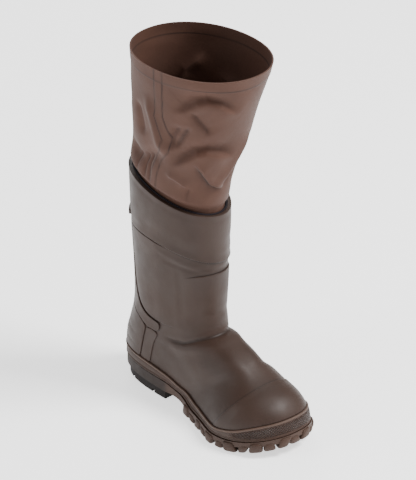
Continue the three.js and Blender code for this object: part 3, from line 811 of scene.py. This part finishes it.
def crevice(p):
    """How much painted shade darkens each place of the upper, in the lines beside its overlays and in its
    deep creases, from 0 to 1."""
    near = np.zeros(len(p))
    for view, roll, weight, shows in PAINTED_SHADE_LINES:
        # painted shade in the groove beside each overlay
        line = weight * bell(np.abs(inside_view(view, roll)(p)), SHADE_LINE_WIDTH)
        near = np.maximum(near, line * shows(p) if shows else line)
    for depth, width, far, fade in beside_creases(p):
        if depth > 1:
            # painted shade in the deep creases
            near = np.maximum(near, CREASE_SHADE * fade * bell(far, CREASE_NARROWER * width))
    return near


# these overlays get no painted shade
def no_painted_shade(p):
    return {"crevice": np.zeros(len(p))}


def upper():
    # the upper carries its painted crevice shade as a mesh attribute
    layer_piece("boot_upper", "upper", [above_sole, below_collar], 0, 0.9, BOOT, low=-WALL, base=0,
                marks=lambda p: {"crevice": crevice(p)})


def overlays():
    layer_piece("boot_cuff", "cuff_band", [in_cuff, below_collar], CUFF, 0.9, shape=cuff_dip)
    layer_piece("boot_back_tab", "back_tab", [inside_view(TAB_VIEW)], TAB, 1.2, low=CUFF, base=2 * GAP + CUFF)
    layer_piece("boot_back_stay", "back_stay", [inside_view(BACK_STAY_VIEW), under_cuff], BACK_STAY)
    layer_piece("boot_shin", "shin_overlay", [inside_view(SHIN_VIEW)], SHIN, material=BOOT, show=shin_shows,
                marks=no_painted_shade)
    layer_piece("boot_counter", "heel_counter", [inside_view(COUNTER_VIEW), above_foxing], COUNTER, 0.9,
                shape=heel_grooves)
    layer_piece("boot_toe_cap", "toe_cap", [inside_view(TOE_CAP_VIEW), above_foxing], TOE_CAP, material=BOOT,
                show=toe_cap_shows, marks=no_painted_shade)
    for name, side in (("medial", medial_side), ("lateral", lateral_side)):
        layer_piece(f"boot_panel_{name}", f"side_panel_{name}", [inside_view(PANEL_VIEW), side, under_cuff],
                    PANEL, show=panel_shows)
        layer_piece(f"boot_strip_{name}", f"counter_strip_{name}",
                    [inside_view(STRIP_VIEW), side, above_foxing], STRIP, 0.6)


def cuff_dip(p, inward):
    """A soft hollow above the cuff's lower edge and another under its top rim."""
    return -0.45 * bell(-in_cuff(p) - 8, 5) - 0.25 * bell(collar_z(p) - p[:, 2] - 7, 3)


def heel_grooves(p, inward):
    """Two soft grooves that run round the back of the heel, sloping down forward."""
    depth = sum(0.8 * bell(p[:, 2] - COLLAR_HEIGHT * (at - 0.12 * p[:, 1] / LENGTH), 1.3)
                for at in (0.262, 0.205))
    return -depth * (1 - ease(0.10, 0.17, p[:, 1] / LENGTH))


# The foxing's bead and the line under it: how far each is from the top edge
BEAD_AT = 1.5
BEAD_LINE_AT = 3.6


def foxing_shape(p, inward):
    """A round bead along the foxing's top edge with a shallow line under it."""
    return 0.55 * bell(inward - BEAD_AT, 1.0) - 0.45 * bell(inward - BEAD_LINE_AT, 0.9) - 0.3


def foxing_marks(p):
    """Arc length round the sole's edge, height over the sole, where the toe bumper's knurl is, and where the
    bead is."""
    near = np.array([np.argmin(((LOOP - place) ** 2).sum(axis=1)) for place in p[:, :2]])
    rise = p[:, 2] - sole_top(p[:, 1])
    top = foxing_top(p[:, 1]) - p[:, 2]
    bumper = ease(0.80, 0.86, p[:, 1] / LENGTH)
    return {"along": LOOP_ARC[near], "rise": rise, "bead": bell(top - BEAD_AT, 1.2),
            "knurl": bumper * ease(3.8, 4.6, top) * ease(4.2, 5.0, rise)}


def foxing():
    layer_piece("boot_foxing", "foxing_band", [above_sole, below_foxing], FOXING, 1.0, BAND, "foxing_rubber",
                shape=foxing_shape, lines=(0, 0.2, 0.5, 1.0, 1.5, 2.0, 2.6, 3.1, 3.6, 4.2),
                marks=foxing_marks)


def arc_along(line):
    return np.append(0, np.cumsum(np.linalg.norm(np.diff(line, axis=0), axis=1)))


def spaced(line, count):
    """Points at equal steps along a line."""
    arc = arc_along(line)
    at = np.linspace(0, arc[-1], count)
    return np.stack([np.interp(at, arc, line[:, 0]), np.interp(at, arc, line[:, 1])], axis=1)


HALF_LOOP = LOOP_POINTS // 2


def sole_loop():
    """The upper's lower edge in plan: places, outward directions and the arc length at each, from the back
    of the heel round the lateral side to the toe and back round the medial side."""
    u, v, f, _ = patch([above_sole], 0.9)
    p = boot_point(u, v)
    low = p[np.abs(f) < 1e-6]
    lateral, medial = [spaced(part[np.argsort(part[:, 1])][:, :2], HALF_LOOP)
                       for part in (low[low[:, 0] > 0], low[low[:, 0] <= 0])]
    loop = np.concatenate([lateral, medial[::-1]])
    for _ in range(LOOP_SMOOTHING):
        loop = 0.5 * loop + 0.25 * (np.roll(loop, 1, axis=0) + np.roll(loop, -1, axis=0))
    way = np.roll(loop, -1, axis=0) - np.roll(loop, 1, axis=0)
    way /= np.linalg.norm(way, axis=1, keepdims=True)
    out = np.stack([way[:, 1], -way[:, 0]], axis=1)
    if ((loop - loop.mean(axis=0)) * out).sum() < 0:
        out = -out
    return loop, out, arc_along(loop)


LOOP, LOOP_OUT, LOOP_ARC = sole_loop()


def beside_loop(arc, offset):
    """The place in plan at an arc length along the loop, moved out by an offset."""
    arc = np.mod(arc, LOOP_ARC[-1])
    place = [np.interp(arc, LOOP_ARC, LOOP[:, i]) + offset * np.interp(arc, LOOP_ARC, LOOP_OUT[:, i])
             for i in range(2)]
    return np.stack(place, axis=-1)


def lip(s):
    """How far the outsole's edge stands out from the upper."""
    return mix(HEEL_LIP, SOLE_LIP, ease(0.1 * LENGTH, BALL_START * LENGTH, s))


def prism(offset, low, high, start=-FAR, end=FAR):
    """A slab in the sole's plan, moved out by an offset, between two heights and two places along the
    foot."""
    out = offset(LOOP[:, 1]) if callable(offset) else offset
    plan = LOOP + LOOP_OUT * np.reshape(out, (-1, 1))
    pairs = []
    for side in (plan[:HALF_LOOP], plan[HALF_LOOP:][::-1]):
        kept = side[(side[:, 1] > start) & (side[:, 1] < end)]
        for bound, at in ((start, 0), (end, len(kept))):
            if side[:, 1].min() < bound < side[:, 1].max():
                x = np.interp(bound, side[:, 1], side[:, 0])
                kept = np.insert(kept, at, [x, bound], axis=0)
        pairs.append(spaced(kept, PRISM_RUNGS))
    flat = np.stack(pairs, axis=1).reshape(-1, 2)
    i = np.arange(PRISM_RUNGS - 1) * 2
    triangles = np.concatenate([np.stack([i, i + 1, i + 3], 1), np.stack([i, i + 3, i + 2], 1)])
    top = np.column_stack([flat, high(flat[:, 1])])
    bottom = np.column_stack([flat, low(flat[:, 1])])
    return closed_layer(top, bottom, triangles)


def joined(parts):
    """Closed bodies as one mesh, all with the same side out."""
    places, faces, start = [], [], 0
    for part_places, part_faces in parts:
        if volume(part_places, part_faces) > 0:
            part_faces = part_faces[:, ::-1]
        places.append(part_places)
        faces.append(part_faces + start)
        start += len(part_places)
    return np.concatenate(places), np.concatenate(faces)


def bevelled(piece, width):
    bevel = piece.modifiers.new("edge", "BEVEL")
    bevel.width = width * MM
    bevel.segments = 2
    bevel.limit_method = "ANGLE"
    bevel.angle_limit = math.radians(40)


def rounded_block(half, radius):
    """A block with round edges about the origin, from its three half sizes, as places and faces."""
    places, faces, start = [], [], 0
    for axis in range(3):
        others = [k for k in range(3) if k != axis]
        for sign in (-1, 1):
            lines = []
            for h in (half[k] for k in others):
                edge = [-h, -h + 0.3 * radius, -h + radius]
                between = np.linspace(-h + radius, h - radius, 3)
                lines.append(np.unique(np.concatenate([edge, between, -np.array(edge)])))
            a, b = np.meshgrid(*lines, indexing="ij")
            q = np.zeros((a.size, 3))
            q[:, others[0]], q[:, others[1]], q[:, axis] = a.ravel(), b.ravel(), sign * half[axis]
            inner = np.clip(q, -(np.array(half) - radius), np.array(half) - radius)
            away = q - inner
            away /= np.linalg.norm(away, axis=1, keepdims=True)
            places.append(inner + radius * away)
            i, j = np.meshgrid(np.arange(a.shape[0] - 1), np.arange(a.shape[1] - 1), indexing="ij")
            w = a.shape[1]
            k = (i * w + j).ravel() + start
            quads = np.concatenate([np.stack([k, k + w, k + w + 1], 1), np.stack([k, k + w + 1, k + 1], 1)])
            turned = (sign > 0) == (axis == 1)
            faces.append(quads[:, ::-1] if turned else quads)
            start += a.size
    return np.concatenate(places), np.concatenate(faces)


# Tall and low lugs of the rim: how far under the sole's top they end, half their extra width, and how much
# further out they stand
LUG_KINDS = [(1.2, 0.8, 0.9), (4.0, -0.4, 0.0)]
LUG_LEAN = 0.34
LUG_TAPER = 0.16
LUG_ODD = {"wide": 0.5, "along": 0.9, "out": 0.3}


def rim_lugs():
    """Chunky lugs round the forefoot's edge, every second one taller. odd, from -1 to 1, makes each one
    differ a little from the next."""
    from_middle = np.abs(LOOP[:, 1] - LUG_START * LENGTH)
    first = LOOP_ARC[np.argmin(from_middle[:HALF_LOOP])]
    last = LOOP_ARC[HALF_LOOP + np.argmin(from_middle[HALF_LOOP:])]
    count = round((last - first) / LUG_PITCH)
    pitch = (last - first) / count
    lugs = []
    for k in range(count):
        at = first + (k + 0.5) * pitch
        drop, wider, further = LUG_KINDS[k % 2]
        odd = math.sin(2.4 * k + 0.8)
        s = beside_loop(np.array([at]), 0)[0, 1]
        low, high = spring(s), sole_top(s) - drop
        half = [(pitch - LUG_NOTCH) / 2 + wider + LUG_ODD["wide"] * odd, LUG_RUN / 2 + LUG_PROUD,
                (high - low) / 2]
        q, faces = rounded_block(half, LUG_ROUND)
        along = q[:, 0] + LUG_LEAN * odd * q[:, 2] + LUG_ODD["along"] * odd
        along = along * (1 - LUG_TAPER * (q[:, 2] / half[2]) * (1 if k % 3 else -1))
        out = q[:, 1] + lip(s) - LUG_RUN / 2 + further + LUG_ODD["out"] * odd
        plan = beside_loop(at + along, out)
        lugs.append((np.column_stack([plan, q[:, 2] + (low + high) / 2 + spring(plan[:, 1]) - low]), faces))
    return lugs


# Broken bars across the forefoot: place along the foot, and turn of the outer bars
BAR_ROWS = [[0.50, 0.16], [0.57, -0.12], [0.64, 0.14], [0.71, -0.12], [0.78, 0.14], [0.85, -0.10]]


def inner_lugs():
    """The broken bars, inside the rim's lugs."""
    lateral, medial = LOOP[:HALF_LOOP], LOOP[HALF_LOOP:][::-1]
    room = LUG_RUN + LUG_NOTCH - SOLE_LIP
    lugs = []
    for at, turn in BAR_ROWS:
        for side in (-1, 0, 1):
            high, low = slab_bottom(at * LENGTH) + 1, spring(at * LENGTH)
            q, faces = rounded_block([BAR_WIDTH / 2, LUG_BAR / 2, (high - low) / 2], 1.4)
            angle = turn * side
            x = side * (BAR_WIDTH + LUG_NOTCH) + q[:, 0] * math.cos(angle) - q[:, 1] * math.sin(angle)
            s = at * LENGTH + q[:, 0] * math.sin(angle) + q[:, 1] * math.cos(angle)
            x = np.clip(x, np.interp(s, medial[:, 1], medial[:, 0]) + room,
                        np.interp(s, lateral[:, 1], lateral[:, 0]) - room)
            lugs.append((np.column_stack([x, s, q[:, 2] + (low + high) / 2 + spring(s) - low]), faces))
    return lugs


# How dark the outsole is over the heel, and where that ends, from the heel's breast
HEEL_DARK = 1.3
HEEL_FADE = (-3, 12)


def outsole():
    places, faces = prism(lip, slab_bottom, sole_top)
    # the heel's darker tone, in the same attribute that holds the upper's painted shade
    heel = 1 - ease(HEEL_BREAST + HEEL_FADE[0], HEEL_BREAST + HEEL_FADE[1], places[:, 1])
    bevelled(add_mesh("boot_outsole", places, faces, SOLE, ["outsole"], "sole_rubber",
                      {"crevice": HEEL_DARK * heel}, angle=45), 1.2)
    add_mesh("boot_lugs", *joined(rim_lugs() + inner_lugs()), SOLE, [], "sole_rubber", angle=60)


def level(height):
    """The same height all along the foot."""
    return lambda s: np.full(np.shape(s), float(height))


def heel_lift():
    """The heel block, with two grooves across its tread."""
    cuts = [HEEL_CENTRE - HEEL_GROOVE_AT, HEEL_CENTRE + HEEL_GROOVE_AT]
    starts = [-FAR] + [cut + HEEL_GROOVE / 2 for cut in cuts]
    ends = [cut - HEEL_GROOVE / 2 for cut in cuts] + [HEEL_BREAST]
    parts = [prism(-HEEL_INSET, level(HEEL_GROOVE), level(HEEL_LIFT), end=HEEL_BREAST)]
    parts += [prism(-HEEL_INSET, level(0), level(HEEL_GROOVE), start, end)
              for start, end in zip(starts, ends)]
    bevelled(add_mesh("boot_heel", *joined(parts), HEEL, ["heel_lift"], "heel_rubber", angle=40), 0.8)


def insole():
    slab = prism(-WALL - LINING_GAP, lambda s: sole_top(s) + GAP, lambda s: sole_top(s) + GAP + INSOLE)
    bevelled(add_mesh("boot_insole", *slab, LINING, ["insole"], "lining", angle=40), 0.8)


def collar_edge(v):
    """Places on the collar's edge, and level directions out of it."""
    start = np.zeros(len(v))
    out = boot_normal(start, v)
    out[:, 2] = 0
    return boot_point(start, v), out / np.linalg.norm(out, axis=1, keepdims=True)


def binding():
    """The dark lining edge that shows as a thin rounded line all round inside the collar."""
    edge, out = collar_edge(np.arange(COLUMNS) * 2 * math.pi / COLUMNS)
    radius = BINDING / 2
    profile = [(radius, -BINDING_DROP)]
    profile += [(radius * math.cos(t), BINDING_RISE - radius + radius * math.sin(t))
                for t in np.linspace(0, math.pi, 9)]
    profile += [(-radius, -BINDING_DROP)]
    rings = [edge + out * (o - WALL - GAP - radius) + [0, 0, h] for o, h in profile]
    j = np.arange(COLUMNS)
    k = (j + 1) % COLUMNS
    last = (len(profile) - 1) * COLUMNS
    close = np.concatenate([np.stack([last + j, k, j], 1), np.stack([last + j, last + k, k], 1)])
    faces = np.concatenate([wrapped_triangles(len(profile), COLUMNS), close])
    add_mesh("boot_binding", np.concatenate(rings), faces, BINDING_CLOTH, ["collar_binding"], "binding_cloth")


def leg_surface(up, v):
    """Places on the fabric leg's plain outer surface, at heights above the collar's edge. v turns as on the
    boot."""
    inside = -(WALL + BINDING + 2 * GAP + LINING_GAP)
    edge, out = collar_edge(v)
    ring = edge + out * inside
    middle = np.array([-COLLAR_SHIFT, ANKLE_BACK + ANKLE_DEPTH / 2])
    share = up / (LEG_TOP - ring[:, 2])
    rising = ease(0.02, LEG_SECTIONS["at"][0], share)
    away = []
    for i, key, size in ((0, "width", COLLAR_WIDTH / 2), (1, "depth", COLLAR_DEPTH / 2)):
        grown = mix(size + inside, size * through(LEG_SECTIONS, key, share), rising)
        away.append((ring[:, i] - middle[i]) / (size + inside) * grown)
    centre = mix(middle[1], LENGTH * through(LEG_SECTIONS, "centre", share), rising)
    return np.stack([middle[0] + away[0], centre + away[1], ring[:, 2] + up], axis=1)


# Folds of the fabric leg. Each row: depth in mm, positive for a trough; width in mm on the upper and on the
# lower side of a line that runs towards the lateral side; how much painted shade darkens its bottom; for
# some, how far that painted shade reaches on those two sides, LINE_REACH where the row leaves it out; and the
# places along its line, in pairs of turn in degrees and height in mm. The turn runs from 0 at the back over
# the medial side, -90, and the front, -180, to the back again.
FOLDS = [
    (4.4, 11, 4, 0.22, 7, LINE_REACH, [-106, 427, -118, 436, -127, 448, -136, 452, -150, 447, -170, 428]),
    (-2.0, 4.5, 17, 0, [-108, 422, -119, 431, -128, 443, -137, 447, -151, 442, -171, 423]),
    (3.2, 9, 3, 0.5, [-123, 436, -131.5, 421, -140, 409, -146, 396]),
    (4.0, 6, 5, 0.4, 3, LINE_REACH, [-118, 412, -112, 393, -112, 368]),
    (3.4, 3.5, 6, 0.6, LINE_REACH, 4, [-127, 412, -121, 389, -116, 372]),
    (5.6, 13, 4, 0.3, 8, LINE_REACH, [-112, 344, -127, 362, -136, 373, -146, 376, -164, 370, -184, 360]),
    (-2.4, 4.5, 18, 0, [-114, 338, -128, 357, -137, 368, -147, 371, -165, 365, -185, 355]),
    (-4.5, 15, 2.6, 0, [-136, 360, -149, 338, -159, 324, -170, 317, -182, 311]),
    (3.0, 2.5, 8, 1.0, LINE_REACH, 4, [-137, 358, -149, 336, -159, 322, -170, 315.5, -182, 310]),
    (-3.8, 16, 4, 0, [-172, 314, -188, 337, -196, 352, -202, 371, -211, 386]),
    (4.8, 4, 12, 1.0, LINE_REACH, 10, [-174, 314, -190, 336, -198, 351, -204, 370, -213, 385]),
    (-2.4, 10, 4, 0, [-108, 334, -122, 327, -137, 315]),
    (1.6, 4, 4, 0.3, [-137, 317, -135, 303, -134, 290]),
    (6.0, 13, 14, 0.2, [-40, 348, -60, 338, -76, 338, -95, 350, -110, 364]),
    (2.6, 3, 4, 0.6, [-83, 352, -81, 330, -83, 300]),
    (2.4, 3, 4, 0.6, [-90, 356, -88, 335, -90, 303]),
    (2.0, 4, 4, 0.4, [-68, 345, -66, 325, -70, 304]),
    (-4.0, 8, 9, 0, [-78, 440, -88, 410, -102, 370, -108, 352]),
    (3.0, 8, 8, 0.2, [-62, 420, -72, 395, -80, 372]),
    (4.4, 8, 16, 0.6, [-222, 432, -244, 415, -266, 408, -292, 417]),
    (5.0, 9, 17, 0.8, [-218, 366, -240, 352, -262, 347, -290, 354, -306, 366]),
    (3.5, 4, 9, 0.6, [-232, 330, -252, 318, -272, 321]),
    (3.0, 6, 7, 0.3, [-250, 400, -262, 380, -268, 358]),
    (4.5, 6, 11, 0.4, [-300, 440, -318, 418, -326, 392]),
    (4.5, 5, 12, 0.6, [-312, 350, -328, 336, -344, 334]),
    (4.5, 6, 12, 0.4, [-14, 436, -30, 420, -44, 398]),
    (4.0, 6, 12, 0.4, [-12, 372, -28, 360, -44, 352]),
    (2.0, 4, 4, 0.4, [-20, 330, -26, 316, -24, 300]),
    (2.0, 5, 7, 0.3, [-205, 350, -214, 330, -216, 300]),
]
FOLD_ENDS = 0.28
SEAM = [-93, 478, -94, 442, -96, 414, -101, 400, -107, 384, -106, 366, -98, 348, -95.5, 322, -93, 250]


def beside_fold(turn, z, line):
    """Signed distance in mm from a fold's line, positive on its upper side, and the share of its length."""
    scale = np.array([LEG_RADIUS * math.pi / 180, 1])
    places = np.stack([turn, z], axis=1) * scale
    far, share, side = distance_to_line(places, np.reshape(line, (-1, 2)) * scale)
    return far * side, share


def folds(turn, z):
    """How far the cloth stands out at each place, and how much painted shade lies there along a fold's sharp
    line.
    """
    up = 0.9 * np.sin(np.radians(turn) * 3 + z / 27) + 0.7 * np.sin(np.radians(turn) * 5 - z / 19 + 2)
    painted_fold_shade = np.zeros(len(z))
    for depth, high, low, shade_weight, *reaches, line in FOLDS:
        far, share = beside_fold(turn, z, line)
        fade = ease(0, FOLD_ENDS, np.minimum(share, 1 - share))
        up -= FOLD_GAIN * depth * fade / (1 + (far / np.where(far > 0, high, low)) ** 2) ** 1.5
        over, under = reaches or (LINE_REACH, LINE_REACH)
        # painted shade along the fold's sharp line
        painted_fold_shade = np.maximum(painted_fold_shade, shade_weight * fade * bell(far, np.where(far > 0, over, under)))
    return up, painted_fold_shade


# Where the folds begin above the collar's edge, and end under the leg's top edge
FOLDS_FROM = (3, 30)
FOLDS_TO = (26, 6)
STITCH_WIDTH = 0.8


def leg():
    """The lower part of the fabric leg, bonded inside the collar, with its folds, seam and plain hem."""
    v = np.tile(np.arange(LEG_COLUMNS) * 2 * math.pi / LEG_COLUMNS, LEG_STEPS + 1)
    row = np.repeat(np.linspace(0, 1, LEG_STEPS + 1), LEG_COLUMNS)
    edge_z = collar_z(boot_point(np.zeros(len(v)), v))
    up = mix(-LEG_DROP, LEG_TOP - edge_z, row)
    p = leg_surface(up, v)
    z = p[:, 2]
    around = leg_surface(up, v + STEP) - leg_surface(up, v - STEP)
    along = leg_surface(up + 1, v) - leg_surface(up - 1, v)
    out = np.cross(around, along)
    out /= np.linalg.norm(out, axis=1, keepdims=True)
    if (out[:, :2] * (p[:, :2] - p[:, :2].mean(axis=0))).sum() < 0:
        out = -out
    turn = -np.mod(-np.degrees(v), 360)
    # line: painted shade along the folds' sharp lines
    push, line = folds(turn, z)
    free = ease(*FOLDS_FROM, up) * (1 - ease(LEG_TOP - FOLDS_TO[0], LEG_TOP - FOLDS_TO[1], z))
    seam, _ = beside_fold(turn, z, SEAM)
    seam_rise = SEAM_RISE * (1 - ease(SEAM_WIDTH - 1, SEAM_WIDTH, np.abs(seam)))
    hem_rise = HEM_RISE * ease(LEG_TOP - HEM - 1.5, LEG_TOP - HEM, z)
    above = ease(1, 6, up)
    outer = p + out * (push * free + above * np.maximum(seam_rise, hem_rise))[:, None]
    inner = p + out * (push * free - LEG_WALL)[:, None]
    places, faces = closed_layer(outer, inner, wrapped_triangles(LEG_STEPS + 1, LEG_COLUMNS))
    stitches = np.maximum(bell(np.abs(seam) - SEAM_WIDTH, STITCH_WIDTH),
                          bell(z - LEG_TOP + HEM, STITCH_WIDTH))
    # fold: painted shade along the folds
    marks = on_both({"fold_shade": line * free, "seam": stitches * above})
    piece = add_mesh("wader_leg_cloth", places, faces, LEG, ["wader_leg"], "leg_cloth", marks, angle=80)


FLOOR_HALF = 6
FLOOR_DROP = 0.0003


def stage():
    floor = bpy.data.meshes.new("floor")
    corners = [(-1, -1), (1, -1), (1, 1), (-1, 1)]
    floor.from_pydata([(FLOOR_HALF * x, FLOOR_HALF * y, 0) for x, y in corners], [], [(0, 1, 2, 3)])
    ground = new_object("floor", floor)
    ground.location.z = -FLOOR_DROP
    material, tree, shader = new_material("floor")
    fill(tree, shader, {"Base Color": (0.92, 0.92, 0.92, 1), "Roughness": 0.9,
                        "Emission Color": (1, 1, 1, 1), "Emission Strength": 1.2})
    floor.materials.append(material)


VIEW_AZIMUTH = -42.5
VIEW_ELEVATION = 28.5
VIEW_DISTANCE = 3.5
VIEW_LENS = 216
VIEW_AIM = Vector((-0.004, -0.088, 0.232))


def camera():
    azimuth, elevation = math.radians(VIEW_AZIMUTH), math.radians(VIEW_ELEVATION)
    back = Vector((math.sin(azimuth) * math.cos(elevation), -math.cos(azimuth) * math.cos(elevation),
                   math.sin(elevation)))
    data = bpy.data.cameras.new("camera")
    data.lens = VIEW_LENS
    data.sensor_width = 36
    data.clip_end = 50
    eye = new_object("camera", data)
    eye.location = VIEW_AIM + back * VIEW_DISTANCE
    eye.rotation_euler = (-back).to_track_quat("-Z", "Y").to_euler()
    bpy.context.scene.camera = eye


def softbox(name, place, aim, size, power):
    data = bpy.data.lights.new(name, "AREA")
    data.shape = "RECTANGLE"
    data.size, data.size_y = size
    data.energy = power
    lamp = new_object(name, data)
    lamp.location = place
    lamp.rotation_euler = (Vector(aim) - Vector(place)).to_track_quat("-Z", "Y").to_euler()


def lights():
    world = bpy.data.worlds.new("world")
    bpy.context.scene.world = world
    world.use_nodes = True
    fill(world.node_tree, world.node_tree.nodes["Background"], {0: (1, 1, 1, 1), 1: 0.45})
    softbox("key", (1.2, -1.8, 2.9), (0, -0.1, 0.15), (1.2, 1.2), 200)
    softbox("fill", (-2.4, 1.0, 1.2), (0, -0.05, 0.15), (1.0, 1.8), 30)
    softbox("rim", (1.4, 2.2, 1.8), (0, 0, 0.2), (1.6, 1.0), 30)


upper()
overlays()
foxing()
outsole()
heel_lift()
insole()
binding()
leg()
stage()
camera()
lights()
